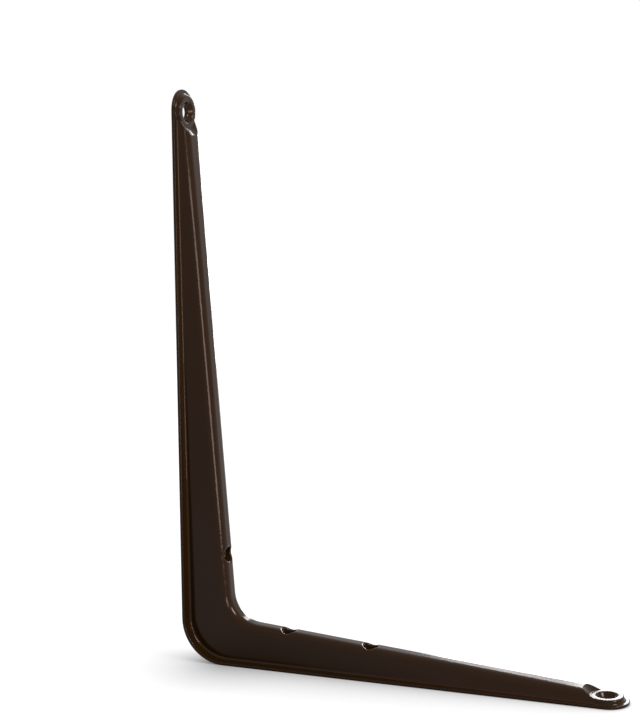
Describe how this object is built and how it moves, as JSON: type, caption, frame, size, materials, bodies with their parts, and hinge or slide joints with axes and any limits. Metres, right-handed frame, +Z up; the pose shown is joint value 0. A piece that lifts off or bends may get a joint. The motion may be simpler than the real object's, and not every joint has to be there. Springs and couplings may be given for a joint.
{
  "type": "shelf bracket",
  "caption": "L-shaped pressed sheet-steel shelf bracket with a tapering, round-ridged hat section, an open back, ringed screw seats at its ends and small screw cups sunk into the ridge.",
  "frame": {"origin": "centre of the bounding box's bottom, under the middle of the shelf arm and in the plane of its back face", "axes": "+Z up along the wall arm, +X along the shelf arm away from the wall, Y across the width, with the two halves mirrored about Y = 0"},
  "size_m": [0.2, 0.0196, 0.25],
  "materials": {
    "enamelled_steel": "glossy dark brown enamel over pressed steel sheet"
  },
  "bodies": {
    "root": {"bracket": "enamelled_steel"}
  },
  "joints": []
}
